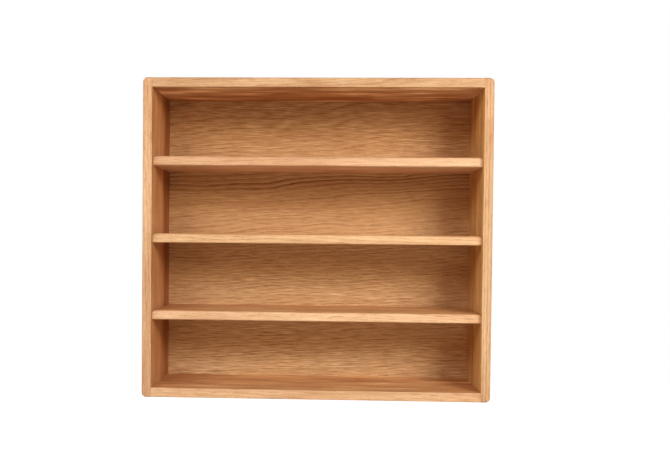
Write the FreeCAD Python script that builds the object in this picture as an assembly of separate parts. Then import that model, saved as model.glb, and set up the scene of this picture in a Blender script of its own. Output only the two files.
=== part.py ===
import FreeCAD, Part
import os

# An open oak cabinet for disc cases: four compartments, one above the other, in a dowelled case.
# Lengths are in millimetres. X runs to the right, Y to the rear and Z up.
# The origin is on the surface that the case stands on, below the middle of the case.

# Case
CASE_WIDTH = 701.7
BOARD_THICKNESS = 19.05
INNER_DEPTH = 152.4
CASE_CORNER_RADIUS = 9.525
EASED_EDGE_RADIUS = 3.175

# Shelves, named from the lowest up
SHELF_NAMES = ("shelf_lower", "shelf_middle", "shelf_upper")
COMPARTMENT_HEIGHT = 137.5
SHELF_SETBACK = 7.94
SHELF_TOP_RADIUS = 6.35
SHELF_CORNER_RADIUS = 1.0

# Back panel, let into a rebate that a round cutter leaves with rounded corners
BACK_THICKNESS = 6.35
REBATE_WIDTH = 9.5
REBATE_CORNER_RADIUS = 15.9
BACK_CLEARANCE = 0.5

# Fluted dowels in every joint between a level board and a side
DOWEL_DIAMETER = 8.0
DOWEL_LENGTH = 30.0
DOWEL_CHAMFER = 1.0
DOWEL_DEPTH_IN_SIDE = 12.0
DOWEL_END_DISTANCE = 25.4
DOWEL_END_GAP = 1.0
DOWEL_CLEARANCE = 0.05
DOWELS_PER_JOINT = 3
FLUTE_RADIUS = 0.4
FLUTE_COUNT = 12

# Countersunk screws that hold the back panel
SCREW_DIAMETER = 2.9
SCREW_LENGTH = 16.0
SCREW_POINT_LENGTH = 3.0
SCREW_HEAD_DIAMETER = 5.6
SCREW_HEAD_HEIGHT = 1.7
SCREW_SINK = 0.3
SCREW_END_GAP = 1.0
SCREW_CLEARANCE = 0.05
RECESS_WIDTH = 0.8
RECESS_SPAN = 3.0
RECESS_DEPTH = 1.2
CASE_SCREW_END_DISTANCE = 38.1
CASE_SCREWS_PER_ROW = 5
SHELF_SCREW_END_DISTANCE = 76.2
SCREWS_PER_SHELF = 3

# Cutting tools run past the faces that they open by this much
OVERRUN = 2.0

# Worked out from the sizes above
COMPARTMENT_COUNT = len(SHELF_NAMES) + 1
SHELF_PITCH = COMPARTMENT_HEIGHT + BOARD_THICKNESS
CASE_HEIGHT = COMPARTMENT_COUNT * SHELF_PITCH + BOARD_THICKNESS
CASE_DEPTH = INNER_DEPTH + BACK_THICKNESS
HALF_WIDTH = CASE_WIDTH / 2
HALF_INNER_WIDTH = HALF_WIDTH - BOARD_THICKNESS
FRONT_Y = -CASE_DEPTH / 2
REAR_Y = CASE_DEPTH / 2
BACK_FRONT_Y = REAR_Y - BACK_THICKNESS
SHELF_FRONT_Y = FRONT_Y + SHELF_SETBACK
DOWEL_RADIUS = DOWEL_DIAMETER / 2
SCREW_RADIUS = SCREW_DIAMETER / 2
SCREW_HEAD_RADIUS = SCREW_HEAD_DIAMETER / 2
SCREW_LINE_OFFSET = REBATE_WIDTH / 2

X_AXIS = FreeCAD.Vector(1, 0, 0)
Y_AXIS = FreeCAD.Vector(0, 1, 0)
Z_AXIS = FreeCAD.Vector(0, 0, 1)
SIDES = {"left": -1, "right": 1}
WHOLE_TURN = 360
PARALLEL_SHARE = 0.999


def block(x_ends, y_ends, z_ends):
    """A block between two places on each axis."""
    sizes = [high - low for low, high in (x_ends, y_ends, z_ends)]
    corner = FreeCAD.Vector(x_ends[0], y_ends[0], z_ends[0])
    return Part.makeBox(*sizes, corner)


def side_span(side, near, far):
    """Two places on X in rising order, both at the given distances from the middle on one side."""
    return tuple(sorted((side * near, side * far)))


def even_places(first, last, count):
    """Evenly spaced places from the first to the last."""
    gap = (last - first) / (count - 1)
    return [first + gap * index for index in range(count)]


def edges_along(shape, axis, wanted):
    """The edges parallel to an axis whose middle passes the test."""
    chosen = []
    for edge in shape.Edges:
        direction = edge.Vertexes[-1].Point - edge.Vertexes[0].Point
        direction.normalize()
        if abs(direction.dot(axis)) > PARALLEL_SHARE and wanted(edge.CenterOfMass):
            chosen.append(edge)
    return chosen


def level_z_ends(level):
    """Bottom and top of a level board: 0 is the case's bottom, and each board above it counts one more."""
    return level * SHELF_PITCH, level * SHELF_PITCH + BOARD_THICKNESS


def rounded_plate(half_width, y_ends, z_ends, radius):
    """An upright plate whose four corners are rounded in the front view."""
    plate = block((-half_width, half_width), y_ends, z_ends)
    return plate.makeFillet(radius, edges_along(plate, Y_AXIS, lambda place: True))


def case_envelope():
    """The outer form of the case: rounded corners, and an eased edge all round the front."""
    envelope = rounded_plate(HALF_WIDTH, (FRONT_Y, REAR_Y), (0, CASE_HEIGHT), CASE_CORNER_RADIUS)
    front = min(envelope.Faces, key=lambda face: face.CenterOfMass.y)
    return envelope.makeFillet(EASED_EDGE_RADIUS, front.Edges)


def back_outline(margin, y_ends):
    """The rebate's outline, or a plate that stays inside it by a margin."""
    reach = REBATE_WIDTH - margin
    z_ends = (BOARD_THICKNESS - reach, CASE_HEIGHT - BOARD_THICKNESS + reach)
    return rounded_plate(HALF_INNER_WIDTH + reach, y_ends, z_ends, REBATE_CORNER_RADIUS - margin)


def dowel_y_places(front):
    """Places of one joint's dowels between the board's front edge and the inner face of the back."""
    return even_places(front + DOWEL_END_DISTANCE, BACK_FRONT_Y - DOWEL_END_DISTANCE, DOWELS_PER_JOINT)


def dowel_at(side, y, z):
    """One fluted dowel with chamfered ends, across the joint on one side."""
    outline = [
        (0, 0),
        (DOWEL_RADIUS - DOWEL_CHAMFER, 0),
        (DOWEL_RADIUS, DOWEL_CHAMFER),
        (DOWEL_RADIUS, DOWEL_LENGTH - DOWEL_CHAMFER),
        (DOWEL_RADIUS - DOWEL_CHAMFER, DOWEL_LENGTH),
        (0, DOWEL_LENGTH),
        (0, 0),
    ]
    points = [FreeCAD.Vector(along, radius, 0) for radius, along in outline]
    dowel = Part.Face(Part.makePolygon(points)).revolve(FreeCAD.Vector(), X_AXIS, WHOLE_TURN)
    flute = Part.makeCylinder(FLUTE_RADIUS, DOWEL_LENGTH, FreeCAD.Vector(0, DOWEL_RADIUS, 0), X_AXIS)
    flutes = []
    for index in range(FLUTE_COUNT):
        turned = flute.copy()
        turned.rotate(FreeCAD.Vector(), X_AXIS, WHOLE_TURN * index / FLUTE_COUNT)
        flutes.append(turned)
    dowel = dowel.cut(Part.makeCompound(flutes))
    outer_end = HALF_INNER_WIDTH + DOWEL_DEPTH_IN_SIDE
    low_end = side_span(side, outer_end - DOWEL_LENGTH, outer_end)[0]
    dowel.translate(FreeCAD.Vector(low_end, y, z))
    return dowel


def dowel_bore_at(side, y, z):
    """The blind bores of one dowel in the side and in the level board, as one cutting cylinder."""
    outer_end = HALF_INNER_WIDTH + DOWEL_DEPTH_IN_SIDE + DOWEL_END_GAP
    inner_end = HALF_INNER_WIDTH + DOWEL_DEPTH_IN_SIDE - DOWEL_LENGTH - DOWEL_END_GAP
    low_end, high_end = side_span(side, inner_end, outer_end)
    start = FreeCAD.Vector(low_end, y, z)
    return Part.makeCylinder(DOWEL_RADIUS + DOWEL_CLEARANCE, high_end - low_end, start, X_AXIS)


def screw_outline(clearance, past_head, past_point):
    """Half of a screw's section, from its head forward, grown by a clearance for the hole it goes in."""
    head_foot = SCREW_SINK + SCREW_HEAD_HEIGHT
    tip = SCREW_SINK + SCREW_LENGTH + past_point
    shoulder = tip - SCREW_POINT_LENGTH
    radii = (0, SCREW_HEAD_RADIUS, SCREW_HEAD_RADIUS, SCREW_RADIUS + clearance, SCREW_RADIUS + clearance, 0, 0)
    depths = (SCREW_SINK - past_head, SCREW_SINK - past_head, SCREW_SINK, head_foot, shoulder, tip)
    return list(zip(radii, depths + depths[:1]))


def turned_about_y(outline, x, z):
    """A solid turned about an axis along Y, its depths counted forward from the rear of the case."""
    points = []
    for index, (radius, depth) in enumerate(outline):
        point = FreeCAD.Vector(radius, -depth, 0)
        if index == 0 or point != points[-1]:
            points.append(point)
    solid = Part.Face(Part.makePolygon(points)).revolve(FreeCAD.Vector(), Y_AXIS, WHOLE_TURN)
    solid.translate(FreeCAD.Vector(x, REAR_Y, z))
    return solid


def screw_at(x, z):
    """One countersunk screw with a cross recess, its head just below the back panel's rear face."""
    screw = turned_about_y(screw_outline(0, 0, 0), x, z)
    half_span = RECESS_SPAN / 2
    half_width = RECESS_WIDTH / 2
    y_ends = (REAR_Y - SCREW_SINK - RECESS_DEPTH, REAR_Y)
    level_slot = block((x - half_span, x + half_span), y_ends, (z - half_width, z + half_width))
    upright_slot = block((x - half_width, x + half_width), y_ends, (z - half_span, z + half_span))
    return screw.cut(level_slot.fuse(upright_slot))


def screw_hole_at(x, z):
    """The countersunk hole in the back panel and the pilot hole in front of it, as one cutting solid."""
    return turned_about_y(screw_outline(SCREW_CLEARANCE, OVERRUN, SCREW_END_GAP), x, z)


def level_screw_places(z, end_distance, count):
    """Places of a level row of screws at one height."""
    reach = HALF_INNER_WIDTH - end_distance
    return [(x, z) for x in even_places(-reach, reach, count)]


def screw_rows():
    """Places of the back panel's screws, by the name of the group that they form."""
    rows = {
        "back_screws_bottom": level_screw_places(
            BOARD_THICKNESS - SCREW_LINE_OFFSET, CASE_SCREW_END_DISTANCE, CASE_SCREWS_PER_ROW),
        "back_screws_top": level_screw_places(
            CASE_HEIGHT - BOARD_THICKNESS + SCREW_LINE_OFFSET, CASE_SCREW_END_DISTANCE, CASE_SCREWS_PER_ROW),
    }
    for name, side in SIDES.items():
        x = side * (HALF_INNER_WIDTH + SCREW_LINE_OFFSET)
        heights = [level_z_ends(level)[1] + COMPARTMENT_HEIGHT / 2 for level in range(COMPARTMENT_COUNT)]
        rows["back_screws_" + name] = [(x, z) for z in heights]
    for level, name in enumerate(SHELF_NAMES, start=1):
        middle = sum(level_z_ends(level)) / 2
        rows["back_screws_" + name] = level_screw_places(middle, SHELF_SCREW_END_DISTANCE, SCREWS_PER_SHELF)
    return rows


def joint_rows():
    """Places of the dowels, by the name of the group that each joint's dowels form."""
    boards = {"bottom": (0, FRONT_Y), "top": (COMPARTMENT_COUNT, FRONT_Y)}
    for level, name in enumerate(SHELF_NAMES, start=1):
        boards[name] = (level, SHELF_FRONT_Y)
    rows = {}
    for board, (level, front) in boards.items():
        middle = sum(level_z_ends(level)) / 2
        for name, side in SIDES.items():
            rows["dowels_" + board + "_" + name] = [(side, y, middle) for y in dowel_y_places(front)]
    return rows


def case_board(x_ends, z_ends):
    """A full-depth board of the case, before it is bored."""
    board = block(x_ends, (FRONT_Y, REAR_Y), z_ends).common(case_envelope())
    return board.cut(back_outline(0, (BACK_FRONT_Y, REAR_Y + OVERRUN)))


def side_panel(side):
    """An upright side that runs the full height of the case."""
    return case_board(side_span(side, HALF_INNER_WIDTH, HALF_WIDTH), (0, CASE_HEIGHT))


def level_panel(level):
    """The case's top or bottom, between the sides."""
    return case_board((-HALF_INNER_WIDTH, HALF_INNER_WIDTH), level_z_ends(level))


def shelf(level):
    """A fixed shelf, rounded over on its upper front and end edges and eased on its lower front edge."""
    x_ends = (-HALF_INNER_WIDTH, HALF_INNER_WIDTH)
    y_ends = (SHELF_FRONT_Y, BACK_FRONT_Y)
    z_ends = level_z_ends(level)
    middle = sum(z_ends) / 2
    plain = block(x_ends, y_ends, z_ends)
    front = plain.makeFillet(SHELF_TOP_RADIUS, edges_along(
        plain, X_AXIS, lambda place: place.y < 0 and place.z > middle))
    front = front.makeFillet(EASED_EDGE_RADIUS, edges_along(
        front, X_AXIS, lambda place: place.y < 0 and place.z < middle))
    ends = plain.makeFillet(SHELF_TOP_RADIUS, edges_along(plain, Y_AXIS, lambda place: place.z > middle))
    plan = plain.makeFillet(SHELF_CORNER_RADIUS, edges_along(plain, Z_AXIS, lambda place: place.y < 0))
    return front.common(ends).common(plan)


def back_panel():
    """The thin back, with rounded corners that follow the rebate."""
    return back_outline(BACK_CLEARANCE, (BACK_FRONT_Y, REAR_Y))


def boards():
    """Every board of the cabinet by name, bored for its dowels and screws."""
    plain = {
        "bottom_panel": level_panel(0),
        "top_panel": level_panel(COMPARTMENT_COUNT),
        "back_panel": back_panel(),
    }
    for name, side in SIDES.items():
        plain["side_panel_" + name] = side_panel(side)
    for level, name in enumerate(SHELF_NAMES, start=1):
        plain[name] = shelf(level)
    cutters = [dowel_bore_at(*place) for row in joint_rows().values() for place in row]
    cutters += [screw_hole_at(*place) for row in screw_rows().values() for place in row]
    holes = Part.makeCompound(cutters)
    return {name: board.cut(holes) for name, board in plain.items()}


def fasteners():
    """Every group of dowels and screws by name."""
    groups = {}
    for name, row in joint_rows().items():
        groups[name] = Part.makeCompound([dowel_at(*place) for place in row])
    for name, row in screw_rows().items():
        groups[name] = Part.makeCompound([screw_at(*place) for place in row])
    return groups


os.makedirs("parts", exist_ok=True)
for node, shape in {**boards(), **fasteners()}.items():
    print(node, len(shape.Solids), shape.isValid(), round(shape.Volume))
    shape.exportStep("parts/" + node + ".step")
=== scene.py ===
"""An open oak cabinet with three shelves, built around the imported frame: its boards, its back, its fixings
and a plain studio."""

import math

import bmesh
import bpy
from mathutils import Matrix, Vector


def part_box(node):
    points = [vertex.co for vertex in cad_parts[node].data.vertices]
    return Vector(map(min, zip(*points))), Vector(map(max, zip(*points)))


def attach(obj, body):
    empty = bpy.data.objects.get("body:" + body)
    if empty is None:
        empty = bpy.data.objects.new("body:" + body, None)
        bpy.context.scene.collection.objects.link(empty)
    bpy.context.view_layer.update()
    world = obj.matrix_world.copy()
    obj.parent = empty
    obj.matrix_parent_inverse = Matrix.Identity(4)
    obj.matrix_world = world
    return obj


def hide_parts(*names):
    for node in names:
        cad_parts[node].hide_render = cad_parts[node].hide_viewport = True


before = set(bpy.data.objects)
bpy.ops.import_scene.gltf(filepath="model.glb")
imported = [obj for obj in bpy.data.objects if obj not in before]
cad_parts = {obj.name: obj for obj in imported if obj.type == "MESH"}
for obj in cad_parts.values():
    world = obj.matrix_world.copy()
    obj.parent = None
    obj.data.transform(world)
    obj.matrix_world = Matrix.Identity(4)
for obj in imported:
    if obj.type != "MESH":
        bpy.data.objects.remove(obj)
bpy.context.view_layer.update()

bl_info = {
    "name": "Open Oak Cabinet",
    "version": (1, 0, 0),
    "blender": (4, 5, 0),
    "location": "View3D > Sidebar > Cabinet",
    "description": "Models the oak boards of an open cabinet, finishes its fixings and sets it in a studio",
    "category": "Add Mesh",
}

BODY = "root"
MM = 0.001
FLAT_TOLERANCE = 0.01 * MM
X, Y, Z = 0, 1, 2

SIDE_PANELS = {"side_panel_left": -1, "side_panel_right": 1}
CASE_PANELS = {"bottom_panel": -1, "top_panel": 1}
SHELVES = ("shelf_lower", "shelf_middle", "shelf_upper")


def linear(red, green, blue):
    """A colour read off a screen, 0 to 255 a channel, as the linear values that a shader takes."""
    shares = [channel / 255 for channel in (red, green, blue)]
    return tuple(share / 12.92 if share <= 0.04045 else ((share + 0.055) / 1.055) ** 2.4 for share in shares)


# Settings that a user would change

class CabinetShape(bpy.types.PropertyGroup):
    """Roundings and the rebate of the cabinet's boards"""

    corner_radius: bpy.props.FloatProperty(
        name="Case corners", description="Radius of the case's four outer corners",
        default=9.525 * MM, unit="LENGTH")
    eased_radius: bpy.props.FloatProperty(
        name="Eased edges",
        description="Radius of the outer front edges and of the shelves' lower front edges",
        default=3.175 * MM, unit="LENGTH")
    shelf_radius: bpy.props.FloatProperty(
        name="Shelf rounding", description="Radius of the shelves' upper front and upper end edges",
        default=6.35 * MM, unit="LENGTH")
    shelf_corner_radius: bpy.props.FloatProperty(
        name="Shelf corners", description="Radius of the shelves' upright front corners",
        default=1.0 * MM, unit="LENGTH")
    rebate_width: bpy.props.FloatProperty(
        name="Rebate width", description="How far the back's rebate reaches into each case board",
        default=9.5 * MM, unit="LENGTH")
    rebate_corner_radius: bpy.props.FloatProperty(
        name="Rebate corners", description="Radius that the cutter leaves in the rebate's corners",
        default=15.9 * MM, unit="LENGTH")
    arris: bpy.props.FloatProperty(
        name="Sanded arris", description="Width of the fine chamfer that sanding leaves on every other edge",
        default=0.5 * MM, unit="LENGTH")


class OakFinish(bpy.types.PropertyGroup):
    """Colours and sheen of the lacquered oak"""

    latewood: bpy.props.FloatVectorProperty(
        name="Latewood", description="Colour of the dense, pale part of each growth ring",
        subtype="COLOR", size=3, min=0, max=1, default=(0.86, 0.483, 0.237))
    # Painted shade: an amber tone that darkens and deepens the faces inside the case, which lie in shade
    inside: bpy.props.FloatVectorProperty(
        name="Inside",
        description="Amber tone over the faces inside the case, which daylight has bleached less",
        subtype="COLOR", size=3, min=0, max=1, default=(0.83, 0.757, 0.563))
    # Painted lamp light: a paler, bluer tint low in each compartment, where the lamps shine in under the
    # board above
    lamplit_tint: bpy.props.FloatVectorProperty(
        name="Bleached", description="Paler tone low down in each compartment, where daylight falls in",
        subtype="COLOR", size=3, min=0, max=2, default=(1.1, 1.2, 1.42))
    end_grain: bpy.props.FloatVectorProperty(
        name="End grain", description="Darker tone over the sides' ends, which drink more lacquer",
        subtype="COLOR", size=3, min=0, max=1, default=(0.74, 0.56, 0.42))
    bare_veneer: bpy.props.FloatVectorProperty(
        name="Bare veneer", description="Colour of the back's rear face, which has no lacquer",
        subtype="COLOR", size=3, min=0, max=1, default=linear(222, 190, 150))
    core: bpy.props.FloatVectorProperty(
        name="Plywood core", description="Colour of the back's inner plies",
        subtype="COLOR", size=3, min=0, max=1, default=linear(205, 172, 132))
    roughness: bpy.props.FloatProperty(
        name="Roughness", description="Roughness of the wood under its lacquer",
        default=0.62, min=0, max=1, subtype="FACTOR")
    coat: bpy.props.FloatProperty(
        name="Lacquer", description="Weight of the satin lacquer over the wood",
        default=0.05, min=0, max=1, subtype="FACTOR")
    coat_roughness: bpy.props.FloatProperty(
        name="Lacquer roughness", description="Roughness of the satin lacquer",
        default=0.5, min=0, max=1, subtype="FACTOR")
    shine: bpy.props.FloatProperty(
        name="Shine", description="Specular level of the wood under its lacquer",
        default=0.15, min=0, max=1, subtype="FACTOR")


class StudioStage(bpy.types.PropertyGroup):
    """Floor, lamps and camera"""

    floor_size: bpy.props.FloatProperty(
        name="Floor size", description="Side of the square floor",
        default=14.0, unit="LENGTH")
    world_strength: bpy.props.FloatProperty(
        name="Surround", description="Strength of the even white light from all round",
        default=0.05, min=0)
    right_power: bpy.props.FloatProperty(
        name="Right lamp", description="Power of the soft box at the front right",
        default=36.0, unit="POWER")
    left_power: bpy.props.FloatProperty(
        name="Left lamp", description="Power of the long soft box at the front left",
        default=25.0, unit="POWER")
    rear_power: bpy.props.FloatProperty(
        name="Rear lamp", description="Power of the soft box behind the cabinet, which lights its back",
        default=24.0, unit="POWER")
    lens: bpy.props.FloatProperty(
        name="Lens", description="Focal length of the camera in millimetres",
        default=37.8, min=1)


# Shader sheets

class Shade:
    """One output on a material's sheet of nodes. Sums that are written with it add Math nodes."""

    def __init__(self, sheet, socket):
        self.sheet = sheet
        self.socket = socket

    def math(self, operation, *others):
        """The outcome of a Math node on this value and others."""
        return self.sheet.node("Math", {"operation": operation}, dict(enumerate((self,) + others)))

    def __add__(self, other):
        return self.math("ADD", other)

    def __sub__(self, other):
        return self.math("SUBTRACT", other)

    def __rsub__(self, other):
        return self.sheet.node("Math", {"operation": "SUBTRACT"}, {0: other, 1: self})

    def __mul__(self, other):
        return self.math("MULTIPLY", other)

    def __truediv__(self, other):
        return self.math("DIVIDE", other)

    __radd__ = __add__
    __rmul__ = __mul__


class Sheet:
    """A material's sheet of nodes, with its surface shader."""

    def __init__(self, name):
        self.material = bpy.data.materials.new(name)
        self.material.use_nodes = True
        self.tree = self.material.node_tree
        self.surface = self.tree.nodes["Principled BSDF"]

    def node(self, kind, settings=None, inputs=None, output=0):
        """Adds a shader node, sets it up, fills its sockets with values or links, and returns one output."""
        made = self.tree.nodes.new("ShaderNode" + kind)
        settings = dict(settings or {})
        stops = settings.pop("stops", None)
        for name, value in settings.items():
            setattr(made, name, value)
        if stops:
            self.set_stops(made.color_ramp.elements, stops)
        for name, value in (inputs or {}).items():
            self.fill(made.inputs[name], value)
        return Shade(self, made.outputs[output])

    def fill(self, socket, value):
        """Links a socket to an output, or sets its own value."""
        if isinstance(value, Shade):
            self.tree.links.new(value.socket, socket)
        elif socket.type == "RGBA" and len(value) == 3:
            socket.default_value = (*value, 1)
        else:
            socket.default_value = value

    def set_stops(self, elements, stops):
        """Puts a ramp's stops at their places; a stop is a place and a grey."""
        while len(elements) < len(stops):
            elements.new(1)
        for element, (place, tone) in zip(elements, stops):
            element.position = place
            element.color = (tone, tone, tone, 1)

    def finish(self, **inputs):
        """Fills the surface shader's sockets; an underscore in a name stands for a space."""
        for name, value in inputs.items():
            self.fill(self.surface.inputs[name.replace("_", " ")], value)
        return self.material

    def place(self):
        """Where a point lies on its object, in metres."""
        return self.node("TexCoord", output="Object")

    def facing(self):
        """Which way the surface looks, without its bump."""
        return self.node("TexCoord", output="Normal")

    def joined(self, operation, first, second):
        """Two places or colours joined part by part."""
        return self.node("VectorMath", {"operation": operation}, {0: first, 1: second})

    def noise(self, place, lengths, detail=2.0):
        """Soft noise from 0 to 1 whose blotches have these lengths along the three axes, in metres."""
        stretched = self.joined("MULTIPLY", place, tuple(1 / length for length in lengths))
        inputs = {"Vector": stretched, "Scale": 1, "Detail": detail, "Roughness": 0.5}
        return self.node("TexNoise", None, inputs)

    def rise(self, value, low, high):
        """0 up to the first value and 1 past the second, smooth between; the first may be the larger."""
        inputs = {"Value": value, "From Min": low, "From Max": high}
        return self.node("MapRange", {"interpolation_type": "SMOOTHSTEP"}, inputs)

    def flecks(self, place, lengths, low, high, detail=2.0):
        """The peaks of a noise: 1 in each and 0 between them."""
        return self.rise(self.noise(place, lengths, detail), low, high)

    def ramp(self, value, stops):
        """A tone looked up along stops."""
        return self.node("ValToRGB", {"stops": stops}, {"Fac": value})

    def split(self, place):
        """The three parts of a place."""
        node = self.node("SeparateXYZ", None, {0: place}).socket.node
        return [Shade(self, part) for part in node.outputs]

    def lit(self, colour, share):
        """A colour made lighter or darker by a share."""
        return self.node("VectorMath", {"operation": "SCALE"}, {0: colour, "Scale": share})

    def stained(self, colour, depth):
        """A colour seen through a depth of stain, which takes most from blue and least from red.

        A depth below 0 makes it paler.
        """
        red = (0 - depth).math("EXPONENT")
        left = self.node("CombineXYZ", None, {"X": red, "Y": red.math("POWER", GREEN_LOSS), "Z": red * red})
        return self.joined("MULTIPLY", colour, left)

    def mixed(self, share, first, second):
        """Two colours mixed by a share."""
        settings = {"data_type": "RGBA", "blend_type": "MIX", "clamp_factor": True}
        return self.node("Mix", settings, {"Factor": share, 6: first, 7: second}, output=2)

    def bump(self, height, depth):
        """A normal that follows a height from 0 to 1, of a depth in metres."""
        return self.node("Bump", None, {"Height": height, "Distance": depth, "Strength": 1})


# Oak

GRAIN_TURNS = {
    "upright": (0, math.radians(-90), 0),
    "level": (0, 0, 0),
    "level_face": (math.radians(90), 0, 0),
}

# How much faster green fades than red under stain, as a power
GREEN_LOSS = 1.55

# Lengths of the wood's patterns along, across and through a board; the rays' are along, around and out from
# the pith
WANDER_LENGTHS = (220 * MM, 80 * MM, 80 * MM)
RIPPLE_LENGTHS = (35 * MM, 14 * MM, 14 * MM)
FIGURE_LENGTHS = (150 * MM, 24 * MM, 24 * MM)
DRIFT_LENGTHS = (350 * MM, 30 * MM, 30 * MM)
MOTTLE_LENGTHS = (20 * MM, 4 * MM, 4 * MM)
DASH_LENGTHS = (26 * MM, 1.1 * MM, 1.1 * MM)
PORE_LENGTHS = (5 * MM, 0.4 * MM, 0.4 * MM)
RAY_LENGTHS = (6 * MM, 0.8 * MM, 4 * MM)
FIBRE_WIDTH = 1.7 * MM

# How open the wood is through one ring, and the share of it that every year has
RING_PROFILE = [(0.0, 0.5), (0.05, 1.0), (0.25, 0.6), (0.5, 0.15), (0.96, 0.0), (1.0, 0.5)]
LEAST_YEAR = 0.25

# A noise seldom strays more than a quarter from its middle, so this brings it to its full reach
FULL_SWING = 4

# Full range over which the small ripple can bend a ring
RIPPLE_BEND = 2.5 * MM

# Full range over which chance can move the middle of a heartwood band (on the back, of a pale band of painted
# light) and of a bold band
HEART_AND_PAINTED_LIGHT_STRAY = 50 * MM
BOLD_STRAY = 30 * MM

# Where each pattern rises out of its noise
DASH_RISE = (0.53, 0.67)
PORE_RISE = (0.56, 0.68)
RAY_RISE = (0.58, 0.72)
BROKEN_RISE = (0.35, 0.6)
COARSE_RISE = (0.38, 0.62)

# Share of a ring that shows where a dark streak crosses it, the streaks' least strength and what chance adds
# to it, and how pale they can get
UNBROKEN = 0.4
LEAST_STREAKS = 0.75
ADDED_STREAKS = 0.5
PALEST_STREAK = -0.13

# Depth of stain in each kind of mark, and what open wood adds to it; the mottle's and the drift's are full
# ranges
DASH_STAIN, OPEN_DASH_STAIN = 0.12, 0.3
PORE_STAIN, OPEN_PORE_STAIN = 0.1, 0.4
RAY_STAIN = 0.05
MOTTLE_STAIN = 0.1
DRIFT_STAIN = 0.2

# Share of a heartwood band, and of the back's pale band of painted light, that shows on outer faces
HEART_AND_PAINTED_LIGHT_OUTSIDE = 0.2

# How much each kind of mark changes the roughness
PORE_ROUGHNESS = 0.14
MOTTLE_ROUGHNESS = 0.1
END_ROUGHNESS = 0.12

# Depth of a full hollow in the surface, and the share of it that each kind of mark makes
HOLLOW_DEPTH = 0.012 * MM
PORE_HOLLOW = 0.8
DASH_HOLLOW = 0.4

# How squarely a face has to look along the grain, through the board or to the front to count as such
END_TURN = (0.15, 0.75)
WIDE_TURN = (0.4, 0.9)
FRONT_TURN = (0.25, 0.9)

# Slack about the space inside the case, how far behind the case's front a board's front edge may lie, and
# slack past the front face of the back
INSIDE_SLACK = 0.5 * MM
FRONT_EDGE_REACH = 24 * MM
BACK_SLACK = 3 * MM

# Painted lamp light, paler low in each compartment: shares of the height from one compartment's floor to the
# next where it has ended, and below which it is full
PAINTED_LAMPLIGHT_RANGE = (0.5, 0.1)

# Distances from a seam: where its line has ended, and within which it is full
SEAM_RANGE = (1.0 * MM, 0.3 * MM)

# A band's place across the board, its width and its strength
NO_BAND = (0.0, 20 * MM, 0.0)


class OakCut:
    """How one board was cut. Places and lengths are in metres, along, across and through the board."""

    def __init__(self, grain, seed, pith, lean, ring_gap, rings, fibre, **looks):
        # The log: which way it runs, its chance patterns, its centre, how that leans, and its rings' spacing
        self.grain = grain
        self.seed = seed
        self.pith = pith
        self.lean = lean
        self.ring_gap = ring_gap
        # Rings: their strength, its share on wide faces, what wide outer faces add, and how far rings stray
        self.rings = rings
        self.face_rings = looks.get("face_rings", 1.0)
        self.outer_rings = looks.get("outer_rings", 0.22)
        self.wander = looks.get("wander", 3 * MM)
        # Streaks: their strength, their length, how far they bend with the rings, and a band with weaker ones
        self.fibre = fibre
        self.reach = looks.get("reach", 28 * MM)
        self.sway = looks.get("sway", 0.5)
        self.calm = looks.get("calm", NO_BAND)
        # Strength of the long pores and of the slow figure, and what the wide faces inside add to the figure
        self.dashes = looks.get("dashes", 1.0)
        self.figure = looks.get("figure", 0.5)
        self.broad = looks.get("broad", 0.4)
        # A band of darker heartwood, seen mostly inside the case (on the back a pale band of painted light
        # instead), and a band of bolder rings
        self.heart_and_painted_light = looks.get("heart_and_painted_light", NO_BAND)
        self.bold = looks.get("bold", NO_BAND)
        # How much darker the board grows across, per metre (on the back, painted shade that darkens it toward
        # its top), and the dark of its seams
        self.fade = looks.get("fade", 0.0)
        self.seam = looks.get("seam", 0.14)
        # Tones over its outer faces, over its faces inside the case, which are painted shade, and over those
        # of them low in each compartment, which are painted lamp light
        self.tone = looks.get("tone", (1.0, 1.0, 1.0))
        self.inside = looks.get("inside", (1.0, 1.0, 1.0))
        self.lamplit_tint = looks.get("lamplit_tint", (1.0, 1.0, 1.0))


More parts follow.
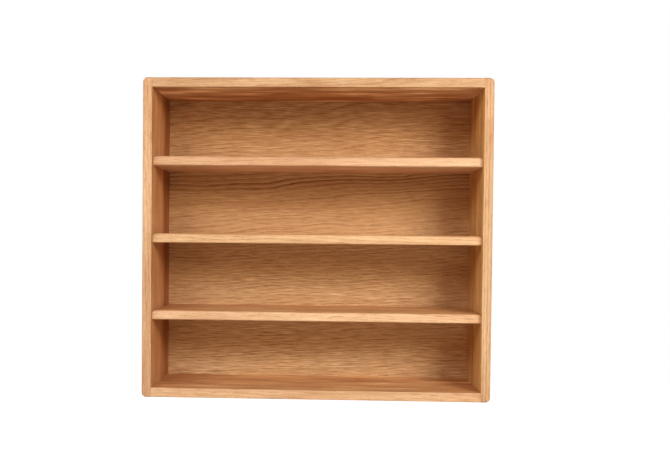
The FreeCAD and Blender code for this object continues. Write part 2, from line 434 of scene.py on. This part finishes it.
SHELF_LOOKS = {"rings": 0.2, "fibre": 0.25, "reach": 70 * MM}
OAK_CUTS = {
    "side_panel_left": OakCut(
        "upright", (0.3, 0.1, 0.2), (0.02, 0.075), (0.02, 0.01), 4.2 * MM,
        wander=2 * MM, rings=0.15, fibre=0.34, heart_and_painted_light=(0.046, 0.028, 0.6),
        tone=(0.945, 0.952, 1.006), inside=(0.8, 0.7, 0.67)),
    "side_panel_right": OakCut(
        "upright", (1.7, 0.4, 0.9), (-0.05, -0.09), (0.006, 0.0), 6.2 * MM,
        wander=0.5 * MM, rings=0.38, face_rings=0.35, seam=0.25, fibre=0.36, heart_and_painted_light=(0.012, 0.008, 0.3),
        tone=(0.862, 0.889, 0.899), inside=(0.965, 0.97, 0.83)),
    "top_panel": OakCut(
        "level", (2.6, 0.2, 0.6), (0.0, 0.06), (0.05, -0.01), 4.0 * MM,
        wander=6 * MM, rings=0.25, fibre=0.47, figure=0.8, broad=2.2, heart_and_painted_light=(0.05, 0.03, 0.2),
        tone=(0.838, 0.87, 0.901), inside=(0.99, 1.01, 1.13)),
    "bottom_panel": OakCut(
        "level", (3.4, 0.7, 0.1), (0.02, -0.065), (0.04, 0.02), 3.6 * MM,
        wander=5 * MM, rings=0.2, fibre=0.3, reach=50 * MM, figure=0.6, broad=1.4,
        tone=(0.988, 1.035, 1.103), inside=(0.888, 0.796, 0.75)),
    "shelf_lower": OakCut(
        "level", (4.1, 0.5, 0.4), (-0.02, -0.07), (0.03, -0.01), 3.8 * MM, **SHELF_LOOKS,
        tone=(1.107, 1.195, 1.328), inside=(0.85, 0.794, 0.777)),
    "shelf_middle": OakCut(
        "level", (5.3, 0.9, 0.3), (0.04, 0.08), (-0.03, 0.01), 4.4 * MM, **SHELF_LOOKS,
        tone=(0.998, 1.063, 1.08), inside=(0.95, 0.92, 1.0), lamplit_tint=(0.93, 0.9, 0.83)),
    "shelf_upper": OakCut(
        "level", (6.2, 0.3, 0.8), (-0.03, 0.06), (0.02, 0.02), 3.6 * MM, **SHELF_LOOKS,
        tone=(0.985, 1.008, 1.103), inside=(1.055, 1.175, 1.575), lamplit_tint=(0.88, 0.76, 0.6)),
    # On the back the pale band is painted light over the upper part of the lowest compartment, standing for
    # light thrown up from the floor, and the fade is painted shade that darkens the back toward its top
    "back_panel": OakCut(
        "level_face", (7.5, 0.6, 0.5), (0.42, 0.25), (0.05, 0.02), 6.6 * MM,
        wander=7 * MM, rings=0.22, outer_rings=0.0, fibre=1.3, reach=38 * MM, dashes=1.3,
        sway=0.04, calm=(0.02, 0.14, 0.5), figure=0.18, broad=0.0, heart_and_painted_light=(-0.205, 0.035, -0.06),
        bold=(0.13, 0.02, 5.0), fade=0.38, inside=(0.92, 0.985, 1.06)),
}


def grain_place(sheet, cut, centre):
    """Places on a board, laid on its centre, with X along the grain, Y across it and Z through the board."""
    inputs = {"Vector": sheet.place(), "Location": centre, "Rotation": GRAIN_TURNS[cut.grain]}
    return sheet.node("Mapping", {"vector_type": "TEXTURE"}, inputs)


def growth_rings(sheet, place, cut):
    """The log's rings about a point, as four values.

    They are its place beside the other boards', that place swayed with the rings, its place among the rays,
    and how open its year's wood is, from 0 to 1.
    """
    along, across, through = sheet.split(place)
    seeded = sheet.joined("ADD", place, cut.seed)
    wander = sheet.noise(seeded, WANDER_LENGTHS, detail=1.0) - 0.5
    ripple = sheet.noise(seeded, RIPPLE_LENGTHS) - 0.5
    side = across - cut.pith[0] - along * cut.lean[0]
    deep = through - cut.pith[1] - along * cut.lean[1]
    bend = wander * (FULL_SWING * cut.wander) + ripple * RIPPLE_BEND
    radius = (side * side + deep * deep).math("SQRT") + bend
    ring = radius / cut.ring_gap
    year = sheet.node("TexWhiteNoise", {"noise_dimensions": "1D"}, {"W": ring.math("FLOOR")})
    profile = sheet.ramp(ring.math("FRACT"), RING_PROFILE)
    open_wood = profile * (LEAST_YEAR + (1 - LEAST_YEAR) * year)
    sway = sheet.node("CombineXYZ", None, {"X": 0.0, "Y": bend * cut.sway, "Z": bend * cut.sway})
    swayed = sheet.joined("ADD", seeded, sway)
    turn = deep.math("ARCTAN2", side)
    among_rays = sheet.node("CombineXYZ", None, {"X": along + cut.seed[0], "Y": turn * radius, "Z": radius})
    return seeded, swayed, among_rays, open_wood


def hump(offset, band):
    """A band given by its place, width and strength: its strength along its middle and 0 far from it."""
    place, width, strength = band
    away = (offset - place) / width
    return (0 - away * away).math("EXPONENT") * strength


def inside_case(sheet):
    """1 on the faces inside the case, save the boards' front edges, and 0 on all others."""
    low, high = inner_space()
    x, y, z = sheet.split(sheet.place())
    facing = sheet.split(sheet.facing())
    edge = sheet.rise(0 - facing[Y], *FRONT_TURN) * y.math("LESS_THAN", low.y + FRONT_EDGE_REACH)
    within = x.math("ABSOLUTE").math("LESS_THAN", high.x + INSIDE_SLACK)
    within = within * y.math("LESS_THAN", high.y + BACK_SLACK)
    within = within * z.math("GREATER_THAN", low.z - INSIDE_SLACK)
    within = within * z.math("LESS_THAN", high.z + INSIDE_SLACK)
    return within * (1 - edge)


def painted_lamplight(sheet):
    """Painted lamp light: 1 near each compartment's floor, where the lamps shine in, 0 over its shaded upper
    part.
    """
    floor = inner_space()[0].z
    lowest_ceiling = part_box("shelf_lower")[0].z
    next_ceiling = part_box("shelf_middle")[0].z
    z = sheet.split(sheet.place())[Z]
    rows = (z - (floor - INSIDE_SLACK)) / (next_ceiling - lowest_ceiling)
    return sheet.rise(rows.math("FRACT"), *PAINTED_LAMPLIGHT_RANGE)


def seams(sheet):
    """1 along the joints between the sides and the top and bottom boards, where a thin darker line is drawn.

    It is 0 elsewhere.
    """
    low, high = inner_space()
    x, _, z = sheet.split(sheet.place())
    joint = sheet.rise((x.math("ABSOLUTE") - high.x).math("ABSOLUTE"), *SEAM_RANGE)
    middle = (low.z + high.z) / 2
    return joint * (z - middle).math("ABSOLUTE").math("GREATER_THAN", (high.z - low.z) / 2)


def board_tone(sheet, cut, finish, inside):
    """Tone over a board's grain: its own outside, amber painted shade inside, paler painted lamp light low
    down.
    """
    # Painted shade over the faces in the case, and painted lamp light over them low in each compartment
    amber = [share * own for share, own in zip(finish.inside, cut.inside)]
    pale = [share * paler * own for share, paler, own in zip(amber, finish.lamplit_tint, cut.lamplit_tint)]
    tone = sheet.mixed(inside, cut.tone, sheet.mixed(painted_lamplight(sheet), amber, pale))
    return sheet.lit(tone, 1 - cut.seam * seams(sheet))


def oak_wood(sheet, cut, finish, centre):
    """Colour, roughness and normal of lacquered red oak, cut from a log as the cut says."""
    place = grain_place(sheet, cut, centre)
    seeded, swayed, among_rays, open_wood = growth_rings(sheet, place, cut)
    across = sheet.split(place)[Y]
    turned = {"Vector": sheet.facing(), "Rotation": GRAIN_TURNS[cut.grain]}
    facing = sheet.split(sheet.node("Mapping", {"vector_type": "TEXTURE"}, turned))
    end_grain = sheet.rise(facing[X].math("ABSOLUTE"), *END_TURN)
    wide_face = sheet.rise(facing[Z].math("ABSOLUTE"), *WIDE_TURN)
    inside = inside_case(sheet)

    fibre = sheet.noise(swayed, (cut.reach, FIBRE_WIDTH, FIBRE_WIDTH), detail=1.0)
    dashes = sheet.flecks(swayed, DASH_LENGTHS, *DASH_RISE, detail=1.0)
    pores = sheet.flecks(swayed, PORE_LENGTHS, *PORE_RISE, detail=1.0)
    rays = sheet.flecks(among_rays, RAY_LENGTHS, *RAY_RISE, detail=1.0)
    figure = sheet.noise(swayed, FIGURE_LENGTHS, detail=2.5)
    drift = sheet.noise(seeded, DRIFT_LENGTHS)
    mottle = sheet.noise(seeded, MOTTLE_LENGTHS)
    # Heartwood bands, and on the back a pale band of painted light over the upper part of the lowest
    # compartment
    heart_and_painted_light = hump(across + (drift - 0.5) * HEART_AND_PAINTED_LIGHT_STRAY, cut.heart_and_painted_light)
    bold = hump(across + (drift - 0.5) * BOLD_STRAY, cut.bold)

    ring_strength = cut.rings * (1 - (1 - cut.face_rings) * wide_face) * (1 + bold)
    ring_strength = ring_strength + cut.outer_rings * wide_face * (1 - inside)
    broken = UNBROKEN + (1 - UNBROKEN) * sheet.rise(fibre, *BROKEN_RISE)
    coarse = LEAST_STREAKS + ADDED_STREAKS * sheet.rise(drift, *COARSE_RISE)
    streaks = (0.5 - fibre).math("MAXIMUM", PALEST_STREAK)
    grain = open_wood * (ring_strength * broken)
    grain = grain + streaks * (cut.fibre * coarse * (1 - hump(across, cut.calm)))
    grain = grain + (0.5 - figure) * (cut.figure * (1 + cut.broad * wide_face * inside))
    grain = grain + dashes * (DASH_STAIN + OPEN_DASH_STAIN * open_wood) * cut.dashes
    grain = grain + pores * (PORE_STAIN + OPEN_PORE_STAIN * open_wood) + rays * RAY_STAIN
    grain = grain + (0.5 - mottle) * MOTTLE_STAIN + (0.5 - drift) * DRIFT_STAIN
    grain = grain + heart_and_painted_light * (HEART_AND_PAINTED_LIGHT_OUTSIDE + (1 - HEART_AND_PAINTED_LIGHT_OUTSIDE) * inside)
    # On the back, painted shade that darkens it toward its top
    grain = grain + across * cut.fade

    colour = sheet.stained(finish.latewood, grain)
    colour = sheet.mixed(end_grain, colour, sheet.joined("MULTIPLY", colour, finish.end_grain))
    colour = sheet.joined("MULTIPLY", colour, board_tone(sheet, cut, finish, inside))
    rough = finish.roughness + PORE_ROUGHNESS * pores + MOTTLE_ROUGHNESS * (mottle - 0.5)
    rough = rough + END_ROUGHNESS * end_grain
    height = 1 - (pores * PORE_HOLLOW + dashes * DASH_HOLLOW).math("MINIMUM", 1)
    return colour, rough, sheet.bump(height, HOLLOW_DEPTH)


def lacquered_oak(name, finish):
    """One board's material, with the grain that its place in the log gives it."""
    sheet = Sheet("oak_" + name)
    low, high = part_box(name)
    colour, rough, normal = oak_wood(sheet, OAK_CUTS[name], finish, (low + high) / 2)
    return sheet.finish(
        Base_Color=colour, Roughness=rough, Normal=normal,
        Coat_Weight=finish.coat, Coat_Roughness=finish.coat_roughness, Specular_IOR_Level=finish.shine)


# Plywood: thickness of its two veneers, how softly plies meet, how far the bare veneer hides the grain, and
# how much rougher bare plies are
FRONT_VENEER = 1.0 * MM
REAR_VENEER = 1.5 * MM
PLY_BLEND = 0.1 * MM
BARE_COVER = 0.35
BARE_ROUGHNESS = 0.22


def oak_plywood(name, finish):
    """The back's material: lacquered veneer in front, plies at its edges, and a bare, paler sheet behind."""
    sheet = Sheet("oak_" + name)
    low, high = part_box(name)
    colour, rough, normal = oak_wood(sheet, OAK_CUTS[name], finish, (low + high) / 2)
    depth = sheet.split(sheet.place())[Y]
    bare = sheet.rise(depth, high.y - REAR_VENEER, high.y - REAR_VENEER + PLY_BLEND)
    core = sheet.rise(depth, low.y + FRONT_VENEER, low.y + FRONT_VENEER + PLY_BLEND) * (1 - bare)
    colour = sheet.mixed(bare, colour, sheet.mixed(BARE_COVER, colour, finish.bare_veneer))
    colour = sheet.mixed(core, colour, finish.core)
    lacquer = finish.coat * (1 - (bare + core).math("MINIMUM", 1))
    return sheet.finish(
        Base_Color=colour, Roughness=rough + BARE_ROUGHNESS * (bare + core), Normal=normal,
        Coat_Weight=lacquer, Coat_Roughness=finish.coat_roughness, Specular_IOR_Level=finish.shine)


# Fixings

BEECH_PALE = linear(224, 190, 148)
BEECH_DARK = linear(206, 166, 122)
BEECH_FLECK = linear(158, 112, 74)
BEECH_FLECK_LENGTHS = (4 * MM, 0.4 * MM, 0.4 * MM)
BEECH_DRIFT_LENGTHS = (30 * MM, 4 * MM, 4 * MM)
BEECH_FLECK_RISE = (0.55, 0.75)
BEECH_ROUGHNESS = 0.62
BEECH_FLECK_DEPTH = 0.05 * MM
ZINC_BRIGHT = linear(205, 207, 210)
ZINC_DULL = linear(150, 148, 140)
ZINC_MARK_LENGTHS = (0.6 * MM, 4 * MM, 0.6 * MM)
ZINC_SPOT_LENGTHS = (2 * MM, 2 * MM, 2 * MM)
ZINC_SPOT_RISE = (0.5, 0.8)
ZINC_ROUGHNESS = 0.26
ZINC_MARK_DEPTH = 0.01 * MM


def beech_dowel_wood():
    """Bare, pale beech with short flecks along each dowel."""
    sheet = Sheet("beech_dowels")
    flecks = sheet.flecks(sheet.place(), BEECH_FLECK_LENGTHS, *BEECH_FLECK_RISE)
    drift = sheet.noise(sheet.place(), BEECH_DRIFT_LENGTHS)
    colour = sheet.mixed(flecks * 0.5, sheet.mixed(drift, BEECH_PALE, BEECH_DARK), BEECH_FLECK)
    return sheet.finish(
        Base_Color=colour, Roughness=BEECH_ROUGHNESS + 0.1 * flecks,
        Normal=sheet.bump(1 - flecks, BEECH_FLECK_DEPTH))


def zinc_plate():
    """Bright zinc plating with fine drawn marks and a few dull spots."""
    sheet = Sheet("zinc_screws")
    marks = sheet.noise(sheet.place(), ZINC_MARK_LENGTHS, detail=3.0)
    spots = sheet.flecks(sheet.place(), ZINC_SPOT_LENGTHS, *ZINC_SPOT_RISE)
    return sheet.finish(
        Base_Color=sheet.mixed(spots, ZINC_BRIGHT, ZINC_DULL), Metallic=1.0,
        Roughness=ZINC_ROUGHNESS + 0.2 * marks + 0.2 * spots, Normal=sheet.bump(marks, ZINC_MARK_DEPTH))


# Modelling

# Segments of each kind of rounding, and the angle above which an edge counts as crisp
CORNER_SEGMENTS = 12
EASED_SEGMENTS = 6
SHELF_SEGMENTS = 8
SHELF_CORNER_SEGMENTS = 5
ARRIS_SEGMENTS = 2
CRISP_ANGLE = math.radians(50)


def start_block(name, low, high):
    """A block between two corners, alone in the selection, with its place in its mesh."""
    bpy.ops.object.select_all(action="DESELECT")
    bpy.ops.mesh.primitive_cube_add(size=1, location=(low + high) / 2)
    block = bpy.context.active_object
    block.scale = high - low
    bpy.ops.object.transform_apply(location=True, rotation=True, scale=True)
    block.name = name
    block.data.name = name
    return block


def round_edges(block, wanted, radius, segments):
    """Rounds the edges whose two ends pass a test."""
    bpy.ops.object.mode_set(mode="EDIT")
    bpy.ops.mesh.select_mode(type="EDGE")
    bpy.ops.mesh.select_all(action="DESELECT")
    mesh = bmesh.from_edit_mesh(block.data)
    for edge in mesh.edges:
        edge.select_set(wanted(*(corner.co for corner in edge.verts)))
    bmesh.update_edit_mesh(block.data)
    bpy.ops.mesh.bevel(offset=radius, segments=segments, affect="EDGES", clamp_overlap=False)
    bpy.ops.object.mode_set(mode="OBJECT")


def near(first, second):
    """Two places on one axis are the same."""
    return abs(first - second) < FLAT_TOLERANCE


def both_at(axis, place):
    """A test for edges whose two ends lie at a place on an axis."""
    return lambda first, second: near(first[axis], place) and near(second[axis], place)


def apply_modifier(piece, kind, name, **settings):
    """Adds a modifier, sets it up and applies it."""
    bpy.context.view_layer.objects.active = piece
    modifier = piece.modifiers.new(name, kind)
    for setting, value in settings.items():
        setattr(modifier, setting, value)
    bpy.ops.object.modifier_apply(modifier=modifier.name)


def combine(piece, tool, operation):
    """Cuts a piece by a tool, or keeps what they share, and deletes the tool."""
    apply_modifier(piece, "BOOLEAN", operation.lower(), operation=operation, solver="EXACT", object=tool)
    bpy.data.objects.remove(tool)


def sand_and_shade(piece, arris):
    """Breaks the crisp edges by a fine arris and shades the faces flat and the roundings smooth."""
    apply_modifier(
        piece, "BEVEL", "arris", width=arris, segments=ARRIS_SEGMENTS,
        limit_method="ANGLE", angle_limit=CRISP_ANGLE)
    bpy.ops.object.select_all(action="DESELECT")
    piece.select_set(True)
    bpy.context.view_layer.objects.active = piece
    bpy.ops.object.shade_smooth_by_angle(angle=CRISP_ANGLE)
    apply_modifier(piece, "WEIGHTED_NORMAL", "flat_faces", keep_sharp=True, weight=100)


def rebate_tool(shape):
    """The block that the back's rebate takes out of the case boards, with its corners rounded."""
    inner_low, inner_high = inner_space()
    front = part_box("back_panel")[0].y
    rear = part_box("side_panel_left")[1].y
    reach = shape.rebate_width
    low = Vector((inner_low.x - reach, front, inner_low.z - reach))
    high = Vector((inner_high.x + reach, rear + reach, inner_high.z + reach))
    tool = start_block("rebate", low, high)
    round_edges(
        tool, lambda a, b: near(a.x, b.x) and near(a.z, b.z), shape.rebate_corner_radius, CORNER_SEGMENTS)
    return tool


def inner_space():
    """Lowest and highest corner of the space between the sides, the bottom and the top."""
    left_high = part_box("side_panel_left")[1]
    right_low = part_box("side_panel_right")[0]
    bottom_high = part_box("bottom_panel")[1]
    top_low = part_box("top_panel")[0]
    low = Vector((left_high.x, right_low.y, bottom_high.z))
    high = Vector((right_low.x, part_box("back_panel")[0].y, top_low.z))
    return low, high


def put_in_place(piece, node, material):
    """Gives a board its material, and lets it stand for its node."""
    piece.data.materials.clear()
    piece.data.materials.append(material)
    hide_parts(node)
    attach(piece, BODY)


def finish_board(context, board, node):
    """Sands a board, and puts it in place in its own oak."""
    sand_and_shade(board, context.scene.cabinet_shape.arris)
    put_in_place(board, node, lacquered_oak(node, context.scene.cabinet_oak))


def repaint(node, material):
    """Gives a node of the frame a new material."""
    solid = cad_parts[node]
    solid.data.materials.clear()
    solid.data.materials.append(material)


# Operators

class CABINET_OT_side_panels(bpy.types.Operator):
    """Model the two upright sides: rounded outer corners, eased front edge, rebate at the rear"""
    bl_idname = "cabinet.side_panels"
    bl_label = "Side Panels"

    def execute(self, context):
        shape = context.scene.cabinet_shape
        for node, side in SIDE_PANELS.items():
            low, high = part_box(node)
            outer_x = high.x if side > 0 else low.x
            inner_x = low.x if side > 0 else high.x
            panel = start_block(node + "_board", low, high)
            round_edges(
                panel,
                lambda a, b: both_at(X, outer_x)(a, b) and near(a.z, b.z),
                shape.corner_radius, CORNER_SEGMENTS)
            round_edges(
                panel,
                lambda a, b: both_at(Y, low.y)(a, b) and not both_at(X, inner_x)(a, b),
                shape.eased_radius, EASED_SEGMENTS)
            combine(panel, rebate_tool(shape), "DIFFERENCE")
            finish_board(context, panel, node)
        return {"FINISHED"}


class CABINET_OT_case_panels(bpy.types.Operator):
    """Model the top and bottom boards that lie between the sides"""
    bl_idname = "cabinet.case_panels"
    bl_label = "Top and Bottom"

    def execute(self, context):
        shape = context.scene.cabinet_shape
        for node, side in CASE_PANELS.items():
            low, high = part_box(node)
            outer_z = high.z if side > 0 else low.z
            panel = start_block(node + "_board", low, high)
            round_edges(
                panel,
                lambda a, b: both_at(Y, low.y)(a, b) and both_at(Z, outer_z)(a, b),
                shape.eased_radius, EASED_SEGMENTS)
            combine(panel, rebate_tool(shape), "DIFFERENCE")
            finish_board(context, panel, node)
        return {"FINISHED"}


class CABINET_OT_shelves(bpy.types.Operator):
    """Model the three fixed shelves, rounded over at their upper front and upper end edges"""
    bl_idname = "cabinet.shelves"
    bl_label = "Shelves"

    def execute(self, context):
        shape = context.scene.cabinet_shape
        for node in SHELVES:
            low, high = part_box(node)
            shelf = start_block(node + "_board", low, high)
            round_edges(
                shelf,
                lambda a, b: both_at(Y, low.y)(a, b) and both_at(Z, high.z)(a, b),
                shape.shelf_radius, SHELF_SEGMENTS)
            round_edges(
                shelf,
                lambda a, b: both_at(Y, low.y)(a, b) and both_at(Z, low.z)(a, b),
                shape.eased_radius, EASED_SEGMENTS)
            ends = start_block("ends", low, high)
            round_edges(
                ends,
                lambda a, b: both_at(Z, high.z)(a, b) and near(a.x, b.x),
                shape.shelf_radius, SHELF_SEGMENTS)
            combine(shelf, ends, "INTERSECT")
            plan = start_block("plan", low, high)
            round_edges(
                plan,
                lambda a, b: both_at(Y, low.y)(a, b) and near(a.x, b.x),
                shape.shelf_corner_radius, SHELF_CORNER_SEGMENTS)
            combine(shelf, plan, "INTERSECT")
            finish_board(context, shelf, node)
        return {"FINISHED"}


class CABINET_OT_back_panel(bpy.types.Operator):
    """Finish the thin back: lacquered veneer in front and bare veneer behind"""
    bl_idname = "cabinet.back_panel"
    bl_label = "Back Panel"

    def execute(self, context):
        repaint("back_panel", oak_plywood("back_panel", context.scene.cabinet_oak))
        return {"FINISHED"}


class CABINET_OT_fixings(bpy.types.Operator):
    """Finish the dowels and the back's screws"""
    bl_idname = "cabinet.fixings"
    bl_label = "Dowels and Screws"

    def execute(self, context):
        beech = beech_dowel_wood()
        zinc = zinc_plate()
        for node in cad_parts:
            if node.startswith("dowels_"):
                repaint(node, beech)
            elif node.startswith("back_screws_"):
                repaint(node, zinc)
        return {"FINISHED"}


# Studio

# The camera's place in metres, its turn in degrees, and its lens's shift in picture widths
CAMERA_PLACE = (0.0394, -1.4860, 0.3212)
CAMERA_TURN = (88.928, -0.553, 1.875)
CAMERA_SHIFT = (0.0334, 0.0345)

# What the lamps look at and how far away they stand, in metres
LAMP_TARGET = (0, 0, 0.32)
LAMP_DISTANCE = 2.3

# Each lamp's turn to the right of the front and rise above level in degrees, its width and height in metres
LAMPS = {
    "lamp_right": (40, 21.5, 1.08, 0.77),
    "lamp_left": (-46, 29, 2.0, 0.5),
    "lamp_rear": (170, 30, 1.4, 0.8),
}

# The floor: distances from its middle, in metres, over which its shadows fade out, and its tones
FLOOR_FADE = (0.4, 0.9)
FLOOR_GLOW = 0.9
WHITE = (1, 1, 1)
PAPER_GREY = linear(240, 240, 240)
SHADOW_GREY = (0.3, 0.3, 0.3)


def seen_or_mirrored(tree):
    """A factor: 1 for what is seen directly, in a shiny surface or through a clear one, 0 as a light."""
    path = tree.nodes.new("ShaderNodeLightPath").outputs
    factor = path["Is Camera Ray"]
    for ray in ("Is Glossy Ray", "Is Transmission Ray"):
        larger = tree.nodes.new("ShaderNodeMath")
        larger.operation = "MAXIMUM"
        tree.links.new(factor, larger.inputs[0])
        tree.links.new(path[ray], larger.inputs[1])
        factor = larger.outputs[0]
    return factor


def white_floor(size):
    """A seamless white floor that keeps a trace of the cabinet's shadow."""
    bpy.ops.object.select_all(action="DESELECT")
    bpy.ops.mesh.primitive_plane_add(size=size, location=(0, 0, 0))
    floor = bpy.context.active_object
    floor.name = "studio_floor"
    sheet = Sheet("floor_white")
    paper = sheet.node("BsdfDiffuse", None, {"Color": PAPER_GREY})
    glow = sheet.node("Emission", None, {"Color": WHITE, "Strength": FLOOR_GLOW})
    dim_paper = sheet.node("BsdfDiffuse", None, {"Color": SHADOW_GREY})
    near_floor = sheet.node("AddShader", None, {0: glow, 1: dim_paper})
    far_floor = sheet.node("Emission", None, {"Color": WHITE, "Strength": 1})
    distance = sheet.node("VectorMath", {"operation": "LENGTH"}, {0: sheet.place()}, output="Value")
    seen = sheet.node("MixShader", None, {0: sheet.rise(distance, *FLOOR_FADE), 1: near_floor, 2: far_floor})
    directly = Shade(sheet, seen_or_mirrored(sheet.tree))
    shown = sheet.node("MixShader", None, {0: directly, 1: paper, 2: seen})
    output = sheet.tree.nodes["Material Output"]
    sheet.tree.links.new(shown.socket, output.inputs["Surface"])
    floor.data.materials.append(sheet.material)


def white_world(strength):
    """Even white light from all round, and a white background."""
    world = bpy.data.worlds.new("studio_world")
    bpy.context.scene.world = world
    world.use_nodes = True
    tree = world.node_tree
    light = tree.nodes["Background"]
    light.inputs["Color"].default_value = (*WHITE, 1)
    light.inputs["Strength"].default_value = strength
    backdrop = tree.nodes.new("ShaderNodeBackground")
    backdrop.inputs["Color"].default_value = (*WHITE, 1)
    backdrop.inputs["Strength"].default_value = 1
    mix = tree.nodes.new("ShaderNodeMixShader")
    tree.links.new(seen_or_mirrored(tree), mix.inputs[0])
    tree.links.new(light.outputs[0], mix.inputs[1])
    tree.links.new(backdrop.outputs[0], mix.inputs[2])
    tree.links.new(mix.outputs[0], tree.nodes["World Output"].inputs["Surface"])


def soft_box(name, power):
    """A soft rectangular lamp that looks at the cabinet."""
    turn, rise, width, height = LAMPS[name]
    turn = math.radians(turn)
    rise = math.radians(rise)
    toward = Vector((math.sin(turn) * math.cos(rise), -math.cos(turn) * math.cos(rise), math.sin(rise)))
    lamp = bpy.data.lights.new(name, "AREA")
    lamp.shape = "RECTANGLE"
    lamp.size = width
    lamp.size_y = height
    lamp.energy = power
    holder = bpy.data.objects.new(name, lamp)
    holder.location = Vector(LAMP_TARGET) + LAMP_DISTANCE * toward
    holder.rotation_euler = toward.to_track_quat("Z", "Y").to_euler()
    bpy.context.scene.collection.objects.link(holder)


class CABINET_OT_stage(bpy.types.Operator):
    """Set the white floor, the lamps and the camera"""
    bl_idname = "cabinet.stage"
    bl_label = "Studio"

    def execute(self, context):
        stage = context.scene.cabinet_stage
        white_floor(stage.floor_size)
        white_world(stage.world_strength)
        soft_box("lamp_right", stage.right_power)
        soft_box("lamp_left", stage.left_power)
        soft_box("lamp_rear", stage.rear_power)
        camera = bpy.data.cameras.new("camera")
        camera.lens = stage.lens
        camera.sensor_fit = "HORIZONTAL"
        camera.shift_x, camera.shift_y = CAMERA_SHIFT
        holder = bpy.data.objects.new("camera", camera)
        holder.location = CAMERA_PLACE
        holder.rotation_euler = [math.radians(angle) for angle in CAMERA_TURN]
        context.scene.collection.objects.link(holder)
        context.scene.camera = holder
        context.scene.view_settings.view_transform = "Standard"
        return {"FINISHED"}


class CABINET_PT_panel(bpy.types.Panel):
    """Lists the cabinet's steps in the sidebar"""
    bl_label = "Open Oak Cabinet"
    bl_idname = "CABINET_PT_panel"
    bl_space_type = "VIEW_3D"
    bl_region_type = "UI"
    bl_category = "Cabinet"

    def draw(self, context):
        for operator in STEPS:
            self.layout.operator(operator.bl_idname)
        for group in (context.scene.cabinet_shape, context.scene.cabinet_oak, context.scene.cabinet_stage):
            box = self.layout.box()
            for name in group.__annotations__:
                box.prop(group, name)


STEPS = (
    CABINET_OT_side_panels,
    CABINET_OT_case_panels,
    CABINET_OT_shelves,
    CABINET_OT_back_panel,
    CABINET_OT_fixings,
    CABINET_OT_stage,
)
SETTINGS = {"cabinet_shape": CabinetShape, "cabinet_oak": OakFinish, "cabinet_stage": StudioStage}


def register():
    """Registers the settings, the operators and the panel."""
    for group in (*SETTINGS.values(), *STEPS, CABINET_PT_panel):
        bpy.utils.register_class(group)
    for name, group in SETTINGS.items():
        setattr(bpy.types.Scene, name, bpy.props.PointerProperty(type=group))


def unregister():
    """Takes them all away again."""
    for name in SETTINGS:
        delattr(bpy.types.Scene, name)
    for group in reversed((*SETTINGS.values(), *STEPS, CABINET_PT_panel)):
        bpy.utils.unregister_class(group)


def main():
    """Registers the add-on and runs its steps in order."""
    register()
    bpy.ops.cabinet.side_panels()
    bpy.ops.cabinet.case_panels()
    bpy.ops.cabinet.shelves()
    bpy.ops.cabinet.back_panel()
    bpy.ops.cabinet.fixings()
    bpy.ops.cabinet.stage()


if __name__ == "__main__":
    main()
